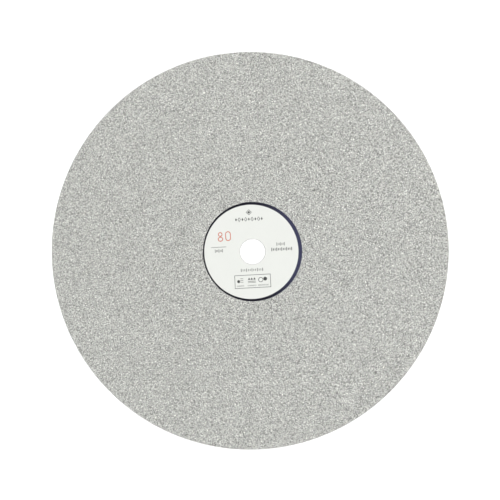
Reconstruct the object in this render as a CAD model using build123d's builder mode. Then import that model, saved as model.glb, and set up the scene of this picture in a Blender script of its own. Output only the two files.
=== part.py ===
from build123d import *

import os

# Diamond lapping disc, 200 mm across, for a half-inch arbor.
# It lies on its back: Z = 0 is the back face, +Z points out of the abrasive face,
# and the origin is the centre of the bore. +Y is the top of the label.
# All sizes are in millimetres.

# The disc as a whole
disc_diameter = 200.0

# The steel plate, with its edges broken after blanking
plate_thickness = 1.0
bore_diameter = 12.7
front_edge_break = 0.30
back_edge_break = 0.15
bore_edge_break = 0.20

# The nickel-bonded grit, which stands the same height off the face and off the rim,
# and leaves the lowest stretch of the rim bare
coating_thickness = 0.20
coating_edge_break = 0.08
bare_rim = 0.30

# The uncoated centre and its stop-off lacquer
centre_diameter = 50.0
lacquer_thickness = 0.05
lacquer_gap = 0.02

# The paper label: the ring of lacquer that it leaves bare is this wide on average,
# because it is stuck on slightly off-centre
label_thickness = 0.12
lacquer_ring_width = 1.32
label_shift_x = -0.58
label_shift_y = -0.08

# Radii and heights that follow from the sizes above
disc_radius = disc_diameter / 2
plate_radius = disc_radius - coating_thickness
bore_radius = bore_diameter / 2
bore_mouth_radius = bore_radius + bore_edge_break
centre_radius = centre_diameter / 2
lacquer_radius = centre_radius - lacquer_gap
label_radius = centre_radius - lacquer_ring_width

grit_top = plate_thickness + coating_thickness
lacquer_top = plate_thickness + lacquer_thickness

# Steel plate: a blanked disc with every edge broken, the front rim most,
# so that the plating has no sharp corner to cross
with BuildPart() as steel_plate:
    with BuildSketch():
        Circle(plate_radius)
        Circle(bore_radius, mode=Mode.SUBTRACT)
    extrude(amount=plate_thickness)

    back_edges = steel_plate.edges().group_by(Axis.Z)[0].sort_by(SortBy.RADIUS)
    front_edges = steel_plate.edges().group_by(Axis.Z)[-1].sort_by(SortBy.RADIUS)
    chamfer(front_edges[-1], length=front_edge_break)
    chamfer(back_edges[-1], length=back_edge_break)
    chamfer([front_edges[0], back_edges[0]], length=bore_edge_break)

# Diamond coating: a layer grown on the plate. Its section starts at the uncoated centre, runs
# out along the face, builds up round the plate's broken edge and ends part of the way down the rim.
with BuildPart() as diamond_coating:
    with BuildSketch(Plane.XZ) as coating_section:
        with BuildLine():
            Polyline(
                (centre_radius, plate_thickness),
                (centre_radius, grit_top),
                (disc_radius, grit_top),
                (disc_radius, bare_rim),
                (plate_radius, bare_rim),
                (plate_radius, plate_thickness - front_edge_break),
                (plate_radius - front_edge_break, plate_thickness),
                close=True,
            )
        make_face()
        inner_corner = coating_section.vertices().group_by(Axis.X)[0].sort_by(Axis.Y)[-1]
        rim_end, outer_corner = coating_section.vertices().group_by(Axis.X)[-1].sort_by(Axis.Y)
        chamfer([inner_corner, rim_end], length=coating_edge_break)
        fillet(outer_corner, radius=front_edge_break + coating_thickness)
    revolve(axis=Axis.Z)

# Centre lacquer: a thin film from the bore's mouth to the inner edge of the coating
with BuildPart() as centre_lacquer:
    with BuildSketch(Plane.XY.offset(plate_thickness)):
        Circle(lacquer_radius)
        Circle(bore_mouth_radius, mode=Mode.SUBTRACT)
    extrude(amount=lacquer_thickness)

# Paper label: a die-cut round that lies on the lacquer, with its hole cut out along the bore's mouth
with BuildPart() as paper_label:
    with BuildSketch(Plane.XY.offset(lacquer_top)):
        with Locations((label_shift_x, label_shift_y)):
            Circle(label_radius)
        Circle(bore_mouth_radius, mode=Mode.SUBTRACT)
    extrude(amount=label_thickness)

steel_plate.part.label = "steel_plate"
diamond_coating.part.label = "diamond_coating"
centre_lacquer.part.label = "centre_lacquer"
paper_label.part.label = "paper_label"

os.makedirs("parts", exist_ok=True)
export_step(steel_plate.part, "parts/steel_plate.step")
export_step(diamond_coating.part, "parts/diamond_coating.step")
export_step(centre_lacquer.part, "parts/centre_lacquer.step")
export_step(paper_label.part, "parts/paper_label.step")
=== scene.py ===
"""Dresses the diamond lapping disc, from its grit face to its printed label, and sets a pale stage."""

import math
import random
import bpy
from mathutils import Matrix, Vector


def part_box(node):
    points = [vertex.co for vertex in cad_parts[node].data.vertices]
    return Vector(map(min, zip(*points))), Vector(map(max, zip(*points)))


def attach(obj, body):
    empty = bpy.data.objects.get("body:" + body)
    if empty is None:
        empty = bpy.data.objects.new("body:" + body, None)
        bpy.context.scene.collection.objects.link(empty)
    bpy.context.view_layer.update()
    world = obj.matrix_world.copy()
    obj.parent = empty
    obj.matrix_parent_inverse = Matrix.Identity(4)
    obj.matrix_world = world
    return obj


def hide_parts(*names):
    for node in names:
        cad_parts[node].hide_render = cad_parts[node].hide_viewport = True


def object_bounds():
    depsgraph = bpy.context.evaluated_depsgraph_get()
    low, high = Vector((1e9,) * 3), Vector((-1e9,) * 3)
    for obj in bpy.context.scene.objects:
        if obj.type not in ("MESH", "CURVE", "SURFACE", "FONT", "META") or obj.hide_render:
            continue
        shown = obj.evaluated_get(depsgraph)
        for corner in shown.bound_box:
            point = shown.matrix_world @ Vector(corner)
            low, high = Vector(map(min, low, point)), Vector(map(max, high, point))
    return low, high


bl_info = {
    "name": "Diamond Lapping Disc",
    "version": (1, 0, 0),
    "blender": (4, 5, 0),
    "location": "3D View > Sidebar > Lapping Disc",
    "description": "Dresses a diamond lapping disc and sets it on a pale studio floor",
    "category": "Object",
}

from typing import NamedTuple

import bmesh
import bpy
from bpy.props import FloatProperty, FloatVectorProperty, IntProperty, PointerProperty
from mathutils import Matrix, Vector

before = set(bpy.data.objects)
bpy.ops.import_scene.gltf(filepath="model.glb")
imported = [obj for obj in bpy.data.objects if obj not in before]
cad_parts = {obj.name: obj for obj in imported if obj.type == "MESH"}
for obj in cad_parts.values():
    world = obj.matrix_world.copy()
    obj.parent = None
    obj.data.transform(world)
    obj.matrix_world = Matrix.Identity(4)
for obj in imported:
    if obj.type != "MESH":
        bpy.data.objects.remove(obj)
cad_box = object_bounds()

MM = 0.001
BODY = "root"

# How finely round shapes are divided: the disc's circles, the turn to the rim and the print
ROUND_STEPS = 256
TURN_STEPS = 4
LINE_STEPS = 32
SPOT_STEPS = 24

# How much shorter the small strokes of a printed scale are, in millimetres
SHORTER = 0.6

# The grit layer's map for the bake: its middle, how far it reaches, and where the outer and the
# inner end of the back lie, as shares of the innermost row's distance from the middle
MAP_MIDDLE = 0.5
MAP_REACH = 0.495
BACK_OUTER_END = 0.2
BACK_INNER_END = 0.97

# The width of the camera's sensor, in millimetres
SENSOR_WIDTH = 36

# The lowest direction, as a share of straight up, that still counts as over the disc
LOWEST_RISE = 0.05


class RoundNode:
    """Where a round CAD node is: its centre to a hundredth of a millimetre, its radii and its heights.
    All are in metres."""

    def __init__(self, name):
        low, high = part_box(name)
        corners = [corner.co.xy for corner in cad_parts[name].data.vertices]
        self.centre = Vector(round(part, 5) for part in (low.xy + high.xy) / 2)
        self.radius = max((corner - self.centre).length for corner in corners)
        self.hole = min(corner.length for corner in corners)
        self.bottom = low.z
        self.top = high.z


plate = RoundNode("steel_plate")
coating = RoundNode("diamond_coating")
lacquer = RoundNode("centre_lacquer")
label = RoundNode("paper_label")


# Settings


def length(name, description, default_mm):
    """A size, whose default is given in millimetres."""
    return FloatProperty(
        name=name,
        description=description,
        default=default_mm * MM,
        subtype="DISTANCE",
        unit="LENGTH",
        precision=5,
    )


def angle(name, description, default_degrees):
    """An angle, whose default is given in degrees."""
    return FloatProperty(
        name=name,
        description=description,
        default=math.radians(default_degrees),
        subtype="ANGLE",
        unit="ROTATION",
    )


def amount(name, description, default, unit="NONE"):
    """A plain number, or one with a unit."""
    return FloatProperty(name=name, description=description, default=default, unit=unit)


def colour(name, description, default):
    """A colour in linear light."""
    return FloatVectorProperty(name=name, description=description, default=default, subtype="COLOR", size=3)


def position(name, description, default):
    """A place in the studio, in metres."""
    return FloatVectorProperty(
        name=name,
        description=description,
        default=default,
        subtype="TRANSLATION",
        unit="LENGTH",
        size=3,
    )


def ramp(name, description, default):
    """A soft edge, given by the place where it is still clear and the place where it is full."""
    return FloatVectorProperty(name=name, description=description, default=default, size=2)


class GritSizes(bpy.types.PropertyGroup):
    """Sizes of the nickel-bonded grit"""

    pitch: length("Pitch", "Distance between the humps of the relief", 0.68)
    relief: length("Relief", "Depth of the hollows between the humps", 0.06)
    edge_break: length("Edge break", "Width of the bevel at both edges of the layer", 0.08)
    turn: length("Turn", "Radius of the turn from the face to the rim", 0.50)
    shift: amount("Shift", "How far a hump may lie off its grid place, in pitches", 0.3)
    grain: length("Grain", "Distance from grain to grain", 0.30)
    seed: IntProperty(name="Seed", description="Start of the relief's random numbers", default=80)


class LabelSizes(bpy.types.PropertyGroup):
    """Sizes of the paper label and of its print"""

    cut: length("Cut edge", "Bevel of the label's cut edges", 0.015)
    ink: length("Ink", "Thickness of the print", 0.008)
    turn: angle("Turn", "How far the label is turned from the disc's +Y", 2.9)
    number_stroke: length("Number stroke", "Line width of the digits", 0.42)
    line_stroke: length("Line stroke", "Line width of the box, the rule and the small marks", 0.20)


class DiscColours(bpy.types.PropertyGroup):
    """Colours of the disc's materials"""

    grit: colour("Grit", "Grit face on average", (0.540, 0.544, 0.517))
    steel: colour("Steel", "Bare steel", (0.56, 0.56, 0.55))
    lacquer: colour("Lacquer", "Body of the blue stop-off lacquer", (0.014, 0.013, 0.015))
    lacquer_gloss: colour("Lacquer gloss", "Tint of the lacquer's gloss", (0.212, 0.232, 0.480))
    paper: colour("Paper", "Label paper", (0.685, 0.698, 0.664))
    ink: colour("Ink", "Black print", (0.030, 0.032, 0.030))
    number: colour("Number", "Orange-red number", (0.500, 0.118, 0.062))
    floor: colour("Floor", "Studio floor", (0.94, 0.94, 0.94))


class StageSizes(bpy.types.PropertyGroup):
    """Sizes of the studio"""

    floor_width: length("Floor width", "Width of the round floor", 20000.0)
    floor_gap: length("Floor gap", "Gap between the disc and the floor", 0.02)
    floor_glow: amount("Floor glow", "Light from below the pale floor", 0.2)
    world_light: amount("World light", "Strength of the light from all round", 2.10)
    light_width: length("Light width", "Width of each soft light", 500.0)
    top_place: position("Top place", "Where the light at the top hangs", (0.35, 0.75, 0.90))
    top_power: amount("Top power", "Power of the light at the top", 2.2, "POWER")
    low_place: position("Low place", "Where the light at the bottom hangs", (0.0, -0.80, 0.90))
    low_power: amount("Low power", "Power of the light at the bottom", 1.6, "POWER")
    camera_distance: length("Camera distance", "Distance from the camera to the disc", 430.0)
    lens: FloatProperty(
        name="Lens",
        description="Focal length on a 36 mm sensor",
        default=61.483,
        subtype="DISTANCE_CAMERA",
    )
    lean_x: angle("Lean to the right", "How far the camera stands to the right of straight above", -2.916)
    lean_y: angle("Lean to the top", "How far the camera stands to the top of straight above", 1.123)
    aim_x: length("Aim across", "Where the camera looks on the floor, along X", -1.285)
    aim_y: length("Aim up", "Where the camera looks on the floor, along Y", 0.835)


class StudioShades(bpy.types.PropertyGroup):
    """Dark parts of the studio, measured across and along a ceiling one unit above the disc"""

    patch_left: ramp("Patch left", "Left edge of the patch overhead", (-0.25, -0.12))
    patch_right: ramp("Patch right", "Right edge of the patch overhead", (0.096, 0.073))
    patch_slant: amount("Patch slant", "Slant of the right edge", 0.13)
    patch_front: ramp("Patch front", "Lower edge of the patch overhead", (-0.35, -0.20))
    patch_rear: ramp("Patch rear", "Upper edge of the patch overhead", (0.35, 0.20))
    screen_near: ramp("Screen near", "Edge of each side screen nearest to the middle", (0.32, 0.45))
    screen_far: ramp("Screen far", "Edge of each side screen farthest from the middle", (2.20, 1.60))
    screen_end: ramp("Screen end", "Both ends of each side screen", (1.60, 1.20))
    depth: amount("Depth", "Share of the light that a dark part takes away", 0.9)
    horizon: ramp("Horizon", "Heights between which the light grows, where straight up is 1", (0.25, 0.45))
    horizon_light: amount("Horizon light", "Share of the light that is left at the horizon", 0.54)


class DiscSettings(bpy.types.PropertyGroup):
    """All settings of the disc and its stage"""

    grit: PointerProperty(type=GritSizes)
    label: PointerProperty(type=LabelSizes)
    colours: PointerProperty(type=DiscColours)
    stage: PointerProperty(type=StageSizes)
    shades: PointerProperty(type=StudioShades)


# Finishes


class Value:
    """A shader socket that takes part in sums."""

    def __init__(self, finish, socket):
        self.finish = finish
        self.socket = socket

    def __add__(self, other):
        return self.finish.sum("ADD", self, other)

    def __radd__(self, other):
        return self.finish.sum("ADD", other, self)

    def __sub__(self, other):
        return self.finish.sum("SUBTRACT", self, other)

    def __rsub__(self, other):
        return self.finish.sum("SUBTRACT", other, self)

    def __mul__(self, other):
        return self.finish.sum("MULTIPLY", self, other)

    def __rmul__(self, other):
        return self.finish.sum("MULTIPLY", other, self)

    def __truediv__(self, other):
        return self.finish.sum("DIVIDE", self, other)

    def __rtruediv__(self, other):
        return self.finish.sum("DIVIDE", other, self)


class Finish:
    """A node tree in the making, of a material or of the world."""

    def __init__(self, owner):
        owner.use_nodes = True
        self.owner = owner
        self.tree = owner.node_tree
        self.tree.nodes.clear()

    def node(self, kind, settings=None, sockets=None, output=0):
        """Adds a node, with its settings before its sockets, and returns one output.
        A tuple of names gives a tuple of outputs."""
        made = self.tree.nodes.new(kind)
        for name, value in (settings or {}).items():
            setattr(made, name, value)
        for name, value in (sockets or {}).items():
            if isinstance(value, Value):
                self.tree.links.new(value.socket, made.inputs[name])
            else:
                made.inputs[name].default_value = value
        if isinstance(output, tuple):
            return tuple(Value(self, made.outputs[name]) for name in output)
        return Value(self, made.outputs[output]) if made.outputs else None

    def sum(self, operation, first, second):
        return self.node("ShaderNodeMath", {"operation": operation}, {0: first, 1: second})

    def vector_sum(self, operation, first, second, output="Vector"):
        return self.node("ShaderNodeVectorMath", {"operation": operation}, {0: first, 1: second}, output)

    def place(self, stretch=(1, 1, 1)):
        """The place on the piece, in metres."""
        place = self.node("ShaderNodeTexCoord", output="Object")
        return self.node("ShaderNodeMapping", None, {"Vector": place, "Scale": stretch})

    def noise(self, place, size, detail):
        """Soft noise from 0 to 1 with spots of this size."""
        sockets = {"Vector": place, "Scale": 1 / size, "Detail": detail}
        return self.node("ShaderNodeTexNoise", None, sockets, "Fac")

    def grains(self, place, size):
        """Cells of this size. Gives two random numbers for each cell, the distance from its middle, in
        cells, and the height of a flat facet that leans its own way in each cell."""
        sockets = {"Vector": place, "Scale": 1 / size}
        parts = ("Distance", "Color", "Position")
        distance, chance, middle = self.node("ShaderNodeTexVoronoi", None, sockets, parts)
        first, second = self.node("ShaderNodeSeparateColor", None, {"Color": chance}, ("Red", "Green"))
        offset = self.vector_sum("SUBTRACT", place, middle)
        lean = self.vector_sum("SUBTRACT", chance, (0.5, 0.5, 0.5))
        facet = self.vector_sum("DOT_PRODUCT", offset, lean, "Value") / size
        return first, second, distance, facet

    def span(self, value, low, high, to_low=0.0, to_high=1.0):
        """The value with low to high spread over to_low to to_high, and held beyond them."""
        sockets = {"Value": value, "From Min": low, "From Max": high, "To Min": to_low, "To Max": to_high}
        return self.node("ShaderNodeMapRange", None, sockets)

    def mix(self, share, first, second):
        """A colour between two, at this share of the second."""
        colours = {0: share, 6: (*first, 1), 7: (*second, 1)}
        return self.node("ShaderNodeMix", {"data_type": "RGBA"}, colours, 2)

    def bump(self, height, depth):
        """A normal for this height, where 1 stands as high as depth."""
        return self.node("ShaderNodeBump", None, {"Height": height, "Distance": depth}, "Normal")

    def surface(self, sockets):
        """Ends a material in a Principled shader, and returns the material."""
        shader = self.node("ShaderNodeBsdfPrincipled", None, sockets)
        self.node("ShaderNodeOutputMaterial", None, {"Surface": shader})
        return self.owner


def new_finish(name):
    return Finish(bpy.data.materials.new(name))


def scaled(rgb, share):
    """A colour made darker or lighter."""
    return tuple(part * share for part in rgb)


def nickel_grit(rgb, grain):
    """Nickel plated round diamond grains: each grain has a grey and a shine of its own, leans its own way
    and stands up between seams.
    Towards its seams each grain's colour is also painted darker, as painted shade between the grains."""
    finish = new_finish("nickel grit")
    place = finish.place()
    tone, shine, distance, facet = finish.grains(place, grain)
    # High in each grain's middle and low at its seams: it shapes the bump, and it also paints shade into the
    # colour at the seams
    crown_and_seam_shade = finish.span(distance, low=0.60, high=0.15)
    crumbs = finish.noise(place, size=grain * 0.3, detail=2)
    # Lighter in each grain's middle and darker towards its seams: painted shade between the grains, on top
    # of each grain's own random grey and the crumbs
    lightness = tone * 0.66 + crown_and_seam_shade * 0.36 + crumbs * 0.10
    height = crown_and_seam_shade * 0.6 + facet * 2.6 + crumbs * 0.2
    return finish.surface(
        {
            "Base Color": finish.mix(lightness, scaled(rgb, share=0.10), scaled(rgb, share=1.84)),
            "Metallic": 1.0,
            "Roughness": finish.span(shine, 0, 1, to_low=0.14, to_high=0.42),
            "Normal": finish.bump(height, depth=grain * 0.4),
        }
    )


def rolled_steel(rgb):
    """Cold-rolled sheet: a fine grain along X, with soft clouds."""
    finish = new_finish("rolled steel")
    streaks = finish.noise(finish.place(stretch=(0.02, 1, 1)), size=0.25 * MM, detail=3)
    clouds = finish.noise(finish.place(), size=22 * MM, detail=3)
    lightness = streaks * 0.6 + clouds * 0.4
    return finish.surface(
        {
            "Base Color": finish.mix(lightness, scaled(rgb, share=0.80), scaled(rgb, share=1.18)),
            "Metallic": 1.0,
            "Roughness": finish.span(lightness, 0.2, 0.8, to_low=0.30, to_high=0.50),
            "Normal": finish.bump(streaks, depth=0.004 * MM),
        }
    )


def blue_lacquer(rgb, gloss):
    """A glossy film that is nearly black where it mirrors the dark and blue where it mirrors light."""
    finish = new_finish("blue lacquer")
    place = finish.place()
    runs = finish.noise(place, size=6 * MM, detail=2)
    peel = finish.noise(place, size=0.8 * MM, detail=2)
    return finish.surface(
        {
            "Base Color": finish.mix(runs, scaled(rgb, share=0.85), scaled(rgb, share=1.15)),
            "IOR": 1.6,
            "Specular IOR Level": 1.0,
            "Specular Tint": (*gloss, 1),
            "Roughness": finish.span(peel, 0, 1, to_low=0.06, to_high=0.10),
            "Normal": finish.bump(runs, depth=0.003 * MM),
        }
    )


def label_paper(rgb):
    """Coated paper with faint fibres."""
    finish = new_finish("label paper")
    fibres = finish.noise(finish.place(stretch=(1, 0.35, 1)), size=0.35 * MM, detail=3)
    clouds = finish.noise(finish.place(), size=9 * MM, detail=2)
    lightness = fibres * 0.4 + clouds * 0.6
    return finish.surface(
        {
            "Base Color": finish.mix(lightness, scaled(rgb, share=0.975), scaled(rgb, share=1.025)),
            "Roughness": finish.span(fibres, 0, 1, to_low=0.50, to_high=0.62),
            "Normal": finish.bump(fibres, depth=0.003 * MM),
        }
    )


def printed_ink(name, rgb):
    """Printing ink, not quite solid."""
    finish = new_finish(name)
    cover = finish.noise(finish.place(), size=0.12 * MM, detail=2)
    return finish.surface(
        {
            "Base Color": finish.mix(cover, scaled(rgb, share=0.8), scaled(rgb, share=1.25)),
            "Roughness": finish.span(cover, 0, 1, to_low=0.35, to_high=0.55),
        }
    )


# Shapes


def add_piece(mesh_builder, name, material):
    """Makes the finished bmesh an object that belongs to the disc."""
    mesh = bpy.data.meshes.new(name)
    mesh_builder.to_mesh(mesh)
    mesh_builder.free()
    mesh.materials.append(material)
    piece = bpy.data.objects.new(name, mesh)
    bpy.context.collection.objects.link(piece)
    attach(piece, BODY)
    return piece


class Station(NamedTuple):
    """A ring of corners on the grit layer: where it lies on the section, and which way its relief goes."""

    radius: float
    height: float
    out: float
    up: float


def grit_stations(sizes):
    """The layer's section, from its foot at the centre over the face and the rim to its back."""
    foot, top, end = plate.top, coating.top, coating.bottom
    inner, outer = coating.hole + sizes.edge_break, coating.radius - sizes.turn
    plate_break = sizes.turn - (top - foot)
    steps = round((outer - inner) / sizes.pitch)
    stations = [
        Station(coating.hole, foot, 0, 0),
        Station(coating.hole, top - sizes.edge_break, 0, 0),
    ]
    for step in range(steps + 1):
        stations.append(Station(inner + (outer - inner) * step / steps, top, 0, 1))
    for step in range(1, TURN_STEPS + 1):
        lean = math.pi / 2 * step / TURN_STEPS
        out, up = math.sin(lean), math.cos(lean)
        radius, height = outer + sizes.turn * out, top - sizes.turn * (1 - up)
        stations.append(Station(radius, height, out / 2, up / 2))
    low_edge = end + sizes.edge_break
    stations += [
        Station(coating.radius, (top - sizes.turn + low_edge) / 2, 1 / 2, 0),
        Station(coating.radius, low_edge, 0, 0),
        Station(coating.radius - sizes.edge_break, end, 0, 0),
        Station(plate.radius, end, 0, 0),
        Station(plate.radius, foot - plate_break, 0, 0),
        Station(plate.radius - plate_break, foot, 0, 0),
    ]
    return stations


def section_runs(stations):
    """How far each station lies from the axis, measured along the section."""
    runs = [stations[0].radius]
    for before, after in zip(stations, stations[1:]):
        runs.append(runs[-1] + math.hypot(after.radius - before.radius, after.height - before.height))
    return runs


def lay_out(layer, reach, back):
    """Gives the layer its map for the bake: the section rolled out flat, with the back inside the hole."""
    longest, shortest = max(reach.values()), min(reach.values())
    back_reach = {longest: shortest * BACK_OUTER_END, shortest: shortest * BACK_INNER_END}
    bake_map = layer.loops.layers.uv.new("OFBake")
    hidden = set(back)
    for face in layer.faces:
        for loop in face.loops:
            run = reach[loop.vert]
            if face in hidden:
                run = back_reach[run]
            place = loop.vert.co.xy.normalized() * run / longest
            loop[bake_map].uv = (MAP_MIDDLE + MAP_REACH * place.x, MAP_MIDDLE + MAP_REACH * place.y)


def square_ring(corner):
    """The number of the square ring that a grid corner lies on, and its angle once that ring is round."""
    number = round(max(abs(corner.x), abs(corner.y)))
    if number == 0:
        return 0, 0.0
    across, along = corner.x / number, corner.y / number
    if abs(across) > abs(along):
        turn = math.pi / 4 * along
        return number, turn if across > 0 else math.pi - turn
    turn = math.pi / 2 - math.pi / 4 * across
    return number, turn if along > 0 else -turn


class DISC_OT_plate(bpy.types.Operator):
    """Gives the steel plate its rolled finish"""

    bl_idname = "lapping_disc.plate"
    bl_label = "Finish the Plate"

    def execute(self, context):
        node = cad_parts["steel_plate"]
        material = rolled_steel(context.scene.lapping_disc.colours.steel)
        for slot in node.material_slots:
            slot.material = material
        return {"FINISHED"}


class DISC_OT_grit(bpy.types.Operator):
    """Builds the grit layer, with a relief of humps and hollows"""

    bl_idname = "lapping_disc.grit"
    bl_label = "Build the Grit Layer"

    def execute(self, context):
        disc = context.scene.lapping_disc
        sizes = disc.grit
        stations = grit_stations(sizes)
        runs = section_runs(stations)
        face_rows = [row for row, station in enumerate(stations) if station.up == 1]
        free_rows = range(face_rows[1], face_rows[-2])
        first = round(coating.hole / sizes.pitch) - face_rows[0]
        last = first + len(stations) - 1
        chance = random.Random(sizes.seed)

        layer = bmesh.new()
        bmesh.ops.create_grid(layer, x_segments=2 * last, y_segments=2 * last, size=last)
        inside = [corner for corner in layer.verts if max(map(abs, corner.co.xy)) < first - 1 / 2]
        bmesh.ops.delete(layer, geom=inside, context="VERTS")
        reach = {}
        for corner in layer.verts:
            number, turn = square_ring(corner.co)
            row = number - first
            reach[corner] = runs[row]
            station = stations[row]
            radius, height = station.radius, station.height
            if station.out or station.up:
                depth = sizes.relief * chance.random()
                radius -= station.out * depth
                height -= station.up * depth
            if row in free_rows:
                radius += sizes.pitch * chance.uniform(-sizes.shift, sizes.shift)
                turn += math.pi / (4 * number) * chance.uniform(-sizes.shift, sizes.shift)
            corner.co = (radius * math.cos(turn), radius * math.sin(turn), height)
        bmesh.ops.triangulate(layer, faces=layer.faces[:], quad_method="BEAUTY")
        open_edges = [edge for edge in layer.edges if edge.is_boundary]
        back = bmesh.ops.bridge_loops(layer, edges=open_edges)["faces"]
        lay_out(layer, reach, back)
        bmesh.ops.recalc_face_normals(layer, faces=layer.faces[:])

        piece = add_piece(layer, "grit_layer", nickel_grit(disc.colours.grit, sizes.grain))
        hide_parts("diamond_coating")
        return {"FINISHED"}


class DISC_OT_lacquer(bpy.types.Operator):
    """Builds the lacquer film on the uncoated centre"""

    bl_idname = "lapping_disc.lacquer"
    bl_label = "Build the Lacquer"

    def execute(self, context):
        colours = context.scene.lapping_disc.colours
        edge = (lacquer.top - lacquer.bottom) / 3
        film = bmesh.new()
        section = [
            (lacquer.hole, lacquer.bottom),
            (lacquer.radius, lacquer.bottom),
            (lacquer.radius, lacquer.top - edge),
            (lacquer.radius - edge, lacquer.top),
            (lacquer.hole + edge, lacquer.top),
            (lacquer.hole, lacquer.top - edge),
        ]
        corners = [film.verts.new((radius, 0, height)) for radius, height in section]
        sides = [film.edges.new((corners[at - 1], corners[at])) for at in range(len(corners))]
        bmesh.ops.spin(
            film,
            geom=corners + sides,
            cent=(0, 0, 0),
            axis=(0, 0, 1),
            angle=math.tau,
            steps=ROUND_STEPS,
            use_merge=True,
        )
        bmesh.ops.recalc_face_normals(film, faces=film.faces[:])

        piece = add_piece(film, "lacquer_film", blue_lacquer(colours.lacquer, colours.lacquer_gloss))
        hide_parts("centre_lacquer")
        return {"FINISHED"}


class DISC_OT_label(bpy.types.Operator):
    """Builds the die-cut paper label"""

    bl_idname = "lapping_disc.label"
    bl_label = "Build the Label"

    def execute(self, context):
        disc = context.scene.lapping_disc
        sheet = bmesh.new()
        outer = Matrix.Translation((*label.centre, label.bottom))
        inner = Matrix.Translation((0, 0, label.bottom))
        bmesh.ops.create_circle(sheet, segments=ROUND_STEPS, radius=label.radius, matrix=outer)
        bmesh.ops.create_circle(sheet, segments=ROUND_STEPS, radius=label.hole, matrix=inner)
        bmesh.ops.bridge_loops(sheet, edges=sheet.edges[:])
        raised = bmesh.ops.extrude_face_region(sheet, geom=sheet.faces[:])["geom"]
        raised_corners = [part for part in raised if isinstance(part, bmesh.types.BMVert)]
        bmesh.ops.translate(sheet, verts=raised_corners, vec=(0, 0, label.top - label.bottom))
        bmesh.ops.recalc_face_normals(sheet, faces=sheet.faces[:])
        middle = (label.bottom + label.top) / 2
        right_angle = math.pi / 2
        top_edges = [
            edge
            for edge in sheet.edges
            if all(corner.co.z > middle for corner in edge.verts)
            and math.isclose(edge.calc_face_angle(0), right_angle, rel_tol=0.01)
        ]
        bmesh.ops.bevel(
            sheet,
            geom=top_edges,
            affect="EDGES",
            offset=disc.label.cut,
            segments=1,
            profile=0.5,
            material=-1,
        )

        piece = add_piece(sheet, "label_sheet", label_paper(disc.colours.paper))
        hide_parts("paper_label")
        return {"FINISHED"}


# Print


def at(x, y, width, height):
    """A place and size on the label, given in millimetres."""
    return Matrix.Translation((x * MM, y * MM, 0)) @ Matrix.Diagonal((width * MM, height * MM, 1, 1))


def bar(sheet, x, y, width, height):
    """A filled rectangle."""
    bmesh.ops.create_grid(sheet, x_segments=1, y_segments=1, size=0.5, matrix=at(x, y, width, height))


def spot(sheet, x, y, width, height, steps=SPOT_STEPS):
    """A filled round, a triangle in three steps or a lozenge in four."""
    bmesh.ops.create_circle(sheet, cap_ends=True, segments=steps, radius=0.5, matrix=at(x, y, width, height))


def ring(sheet, x, y, width, height, stroke, steps=LINE_STEPS):
    """A round line, or a lozenge in four steps."""
    loops = []
    for inset in (0, 2 * stroke):
        size = at(x, y, width - inset, height - inset)
        loops += bmesh.ops.create_circle(sheet, segments=steps, radius=0.5, matrix=size)["verts"]
    bmesh.ops.bridge_loops(sheet, edges=rim_edges(loops))


def rim_edges(corners):
    """Every edge between these corners, once."""
    return list({edge for corner in corners for edge in corner.link_edges})


def oval(sheet, x, y, width, height, stroke):
    """A line with straight sides and half-round ends, as in a digit."""
    straight = (height - width) / 2
    loops = []
    for wide in (width, width - 2 * stroke):
        size = at(0, 0, wide, wide)
        loop = bmesh.ops.create_circle(sheet, segments=LINE_STEPS, radius=0.5, matrix=size)["verts"]
        for corner in loop:
            corner.co.y += math.copysign(straight * MM, corner.co.y)
        bmesh.ops.translate(sheet, verts=loop, vec=(x * MM, y * MM, 0))
        loops += loop
    bmesh.ops.bridge_loops(sheet, edges=rim_edges(loops))


def box_line(sheet, x, y, width, height, stroke):
    """A rectangular line."""
    size = at(x, y, width, height)
    corners = bmesh.ops.create_grid(sheet, x_segments=1, y_segments=1, size=0.5, matrix=size)["verts"]
    face = corners[0].link_faces[0]
    bmesh.ops.inset_region(
        sheet, faces=[face], thickness=stroke * MM, use_boundary=True, use_even_offset=True
    )
    bmesh.ops.delete(sheet, geom=[face], context="FACES")


def ticks(sheet, x, y, width, heights, stroke):
    """A row of upright strokes of these heights, as on a scale."""
    step = (width - stroke) / (len(heights) - 1)
    for number, height in enumerate(heights):
        bar(sheet, x - (width - stroke) / 2 + step * number, y, stroke, height)


def scale(sheet, x, y, width, groups, tall, stroke):
    """A scale: every third stroke is this tall, and the two between are shorter."""
    short = tall - SHORTER
    ticks(sheet, x, y, width, (tall, short, short) * groups + (tall,), stroke)


def lozenges(sheet, x, y, width, height, count, stroke):
    """A row of lozenges, filled and open in turn."""
    step = width / count
    for number in range(count):
        middle = x - width / 2 + step * (number + 0.5)
        if number % 2:
            ring(sheet, middle, y, step * 0.95, height, stroke, 4)
        else:
            spot(sheet, middle, y, step * 0.55, height * 0.7, 4)


def lay_on_label(sheet, sizes):
    """Gives the flat print its thickness and lays it on the label, turned as the label is."""
    raised = bmesh.ops.extrude_face_region(sheet, geom=sheet.faces[:])["geom"]
    raised_corners = [part for part in raised if isinstance(part, bmesh.types.BMVert)]
    bmesh.ops.translate(sheet, verts=raised_corners, vec=(0, 0, sizes.ink))
    bmesh.ops.recalc_face_normals(sheet, faces=sheet.faces[:])
    place = Matrix.Translation((*label.centre, label.top)) @ Matrix.Rotation(sizes.turn, 4, "Z")
    bmesh.ops.transform(sheet, matrix=place, verts=sheet.verts[:])


def draw_number(sheet, stroke):
    """The number 80."""
    ring(sheet, x=-15.25, y=9.51, width=2.24, height=2.24, stroke=stroke)
    ring(sheet, x=-15.25, y=7.14, width=2.65, height=2.46, stroke=stroke)
    oval(sheet, x=-11.38, y=8.48, width=2.80, height=4.85, stroke=stroke)


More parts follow.
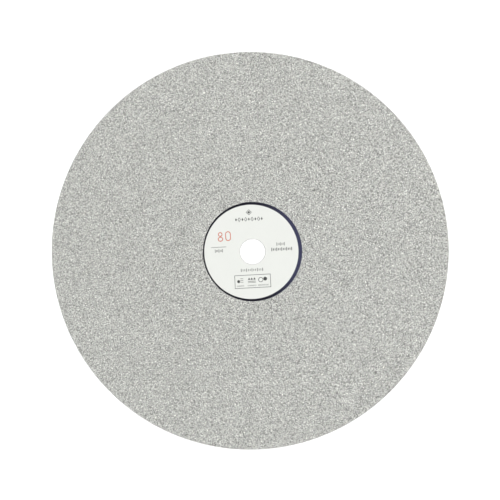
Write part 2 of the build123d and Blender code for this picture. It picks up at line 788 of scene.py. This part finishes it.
def draw_head(sheet, line):
    """The emblem at the top, and the row of lozenges below it."""
    ring(sheet, x=-0.38, y=19.9, width=2.9, height=2.9, stroke=line * 1.6, steps=4)
    spot(sheet, x=-0.38, y=19.9, width=1.4, height=1.4, steps=4)
    lozenges(sheet, x=-0.5, y=16.45, width=14.6, height=2.3, count=9, stroke=line * 1.6)


def draw_scales(sheet, line):
    """The rule under the number, and a small scale left, two on the right and one below the hole."""
    bar(sheet, x=-16.38, y=3.16, width=7.55, height=line)
    scale(sheet, x=-16.33, y=1.31, width=3.9, groups=2, tall=1.7, stroke=line * 1.2)
    scale(sheet, x=14.82, y=3.22, width=4.1, groups=2, tall=1.7, stroke=line * 1.2)
    scale(sheet, x=15.27, y=0.62, width=10.4, groups=4, tall=1.7, stroke=line * 1.9)
    scale(sheet, x=-0.23, y=-9.07, width=11.1, groups=4, tall=1.6, stroke=line * 1.5)


def draw_box(sheet, line):
    """The box with three signs, and a row of small strokes under each sign."""
    box_line(sheet, x=-0.11, y=-14.8, width=18.2, height=6.7, stroke=line * 1.2)
    spot(sheet, x=-7.2, y=-14.6, width=1.5, height=1.5)
    for step in range(3):
        bar(sheet, x=-5.6, y=-15.0 + 0.9 * step, width=1.5, height=line)
    for step in range(3):
        spot(sheet, x=-1.9 + 1.35 * step, y=-13.6, width=1.45, height=1.5, steps=3)
    bar(sheet, x=-0.55, y=-14.75, width=3.9, height=line * 1.3)
    bar(sheet, x=-0.55, y=-15.4, width=3.9, height=line)
    ring(sheet, x=3.95, y=-14.2, width=2.5, height=2.5, stroke=line * 1.4)
    spot(sheet, x=6.2, y=-13.8, width=1.9, height=1.9)
    for x, width, count in ((-6.4, 3.5, 7), (-0.6, 4.2, 8), (5.1, 5.0, 10)):
        ticks(sheet, x, y=-16.87, width=width, heights=(0.6,) * count, stroke=line)


class DISC_OT_print(bpy.types.Operator):
    """Prints the number, the scale marks and the box of signs on the label"""

    bl_idname = "lapping_disc.print"
    bl_label = "Print the Label"

    def execute(self, context):
        disc = context.scene.lapping_disc
        sizes = disc.label

        number = bmesh.new()
        draw_number(number, sizes.number_stroke / MM)
        lay_on_label(number, sizes)
        add_piece(number, "label_number", printed_ink("number ink", disc.colours.number))

        marks = bmesh.new()
        line = sizes.line_stroke / MM
        draw_head(marks, line)
        draw_scales(marks, line)
        draw_box(marks, line)
        lay_on_label(marks, sizes)
        add_piece(marks, "label_marks", printed_ink("grey ink", disc.colours.ink))
        return {"FINISHED"}


# Stage


def studio_world(power, shades):
    """Pale light from all round, weaker near the horizon, with a dark patch overhead that the glossy
    lacquer mirrors and a dark screen at each side that the grains mirror."""
    finish = Finish(bpy.data.worlds.new("pale studio"))
    way = finish.node("ShaderNodeTexCoord", output="Generated")
    x, y, z = finish.node("ShaderNodeSeparateXYZ", None, {"Vector": way}, ("X", "Y", "Z"))
    rise = finish.sum("MAXIMUM", z, LOWEST_RISE)
    across, along = x / rise, y / rise
    patch = (
        finish.span(across, *shades.patch_left)
        * finish.span(across + along * shades.patch_slant, *shades.patch_right)
        * finish.span(along, *shades.patch_front)
        * finish.span(along, *shades.patch_rear)
    )
    aside, ahead = finish.sum("ABSOLUTE", across, 0), finish.sum("ABSOLUTE", along, 0)
    screens = (
        finish.span(aside, *shades.screen_near)
        * finish.span(aside, *shades.screen_far)
        * finish.span(ahead, *shades.screen_end)
    )
    dusk = finish.span(z, *shades.horizon, to_low=shades.horizon_light)
    strength = (1 - patch * shades.depth) * (1 - screens * shades.depth) * dusk * power
    light = finish.node("ShaderNodeBackground", None, {"Color": (1, 1, 1, 1), "Strength": strength})
    finish.node("ShaderNodeOutputWorld", None, {"Surface": light})
    return finish.owner


class DISC_OT_stage(bpy.types.Operator):
    """Sets up the pale floor, the soft light and the camera"""

    bl_idname = "lapping_disc.stage"
    bl_label = "Set the Stage"

    def execute(self, context):
        disc = context.scene.lapping_disc
        stage = disc.stage

        boards = bmesh.new()
        bmesh.ops.create_circle(boards, cap_ends=True, segments=ROUND_STEPS, radius=stage.floor_width / 2)
        bmesh.ops.translate(boards, verts=boards.verts[:], vec=(0, 0, cad_box[0][2] - stage.floor_gap))
        finish = new_finish("pale floor")
        mesh = bpy.data.meshes.new("floor")
        boards.to_mesh(mesh)
        boards.free()
        pale = (*disc.colours.floor, 1)
        glow = {"Emission Color": pale, "Emission Strength": stage.floor_glow}
        mesh.materials.append(finish.surface({"Base Color": pale, "Roughness": 0.9, **glow}))
        floor = bpy.data.objects.new("floor", mesh)
        context.collection.objects.link(floor)

        for name, place, power in (
            ("top light", stage.top_place, stage.top_power),
            ("low light", stage.low_place, stage.low_power),
        ):
            lamp = bpy.data.lights.new(name, "AREA")
            lamp.size = stage.light_width
            lamp.energy = power
            light = bpy.data.objects.new(name, lamp)
            light.location = place
            light.rotation_euler = (-light.location).to_track_quat("-Z", "Y").to_euler()
            context.collection.objects.link(light)

        lens = bpy.data.cameras.new("camera")
        lens.sensor_width = SENSOR_WIDTH
        lens.lens = stage.lens
        lens.clip_start = 10 * MM
        lens.clip_end = stage.floor_width
        camera = bpy.data.objects.new("camera", lens)
        back = Vector((math.sin(stage.lean_x), math.sin(stage.lean_y), 0))
        back.z = math.sqrt(1 - back.length_squared)
        right = Vector((0, 1, 0)).cross(back).normalized()
        turn = Matrix((right, back.cross(right), back)).transposed()
        aim = Vector((stage.aim_x, stage.aim_y, 0))
        camera.matrix_world = Matrix.Translation(aim + back * stage.camera_distance) @ turn.to_4x4()
        context.collection.objects.link(camera)
        context.scene.camera = camera

        context.scene.world = studio_world(stage.world_light, disc.shades)
        context.scene.view_settings.view_transform = "Standard"
        return {"FINISHED"}


class DISC_PT_panel(bpy.types.Panel):
    """Sizes, colours and steps of the lapping disc"""

    bl_idname = "DISC_PT_panel"
    bl_label = "Lapping Disc"
    bl_space_type = "VIEW_3D"
    bl_region_type = "UI"
    bl_category = "Lapping Disc"

    def draw(self, context):
        disc = context.scene.lapping_disc
        for step in STEPS:
            self.layout.operator(step.bl_idname)
        for group in (disc.grit, disc.label, disc.colours, disc.stage, disc.shades):
            column = self.layout.column(heading=group.bl_rna.name)
            for name in group.bl_rna.properties.keys():
                if name not in ("rna_type", "name"):
                    column.prop(group, name)


STEPS = (DISC_OT_plate, DISC_OT_grit, DISC_OT_lacquer, DISC_OT_label, DISC_OT_print, DISC_OT_stage)
GROUPS = (GritSizes, LabelSizes, DiscColours, StageSizes, StudioShades, DiscSettings)
CLASSES = (*GROUPS, *STEPS, DISC_PT_panel)


def register():
    for kind in CLASSES:
        bpy.utils.register_class(kind)
    bpy.types.Scene.lapping_disc = PointerProperty(type=DiscSettings)


def unregister():
    del bpy.types.Scene.lapping_disc
    for kind in reversed(CLASSES):
        bpy.utils.unregister_class(kind)


def main():
    register()
    bpy.ops.lapping_disc.plate()
    bpy.ops.lapping_disc.grit()
    bpy.ops.lapping_disc.lacquer()
    bpy.ops.lapping_disc.label()
    bpy.ops.lapping_disc.print()
    bpy.ops.lapping_disc.stage()


if __name__ == "__main__":
    main()
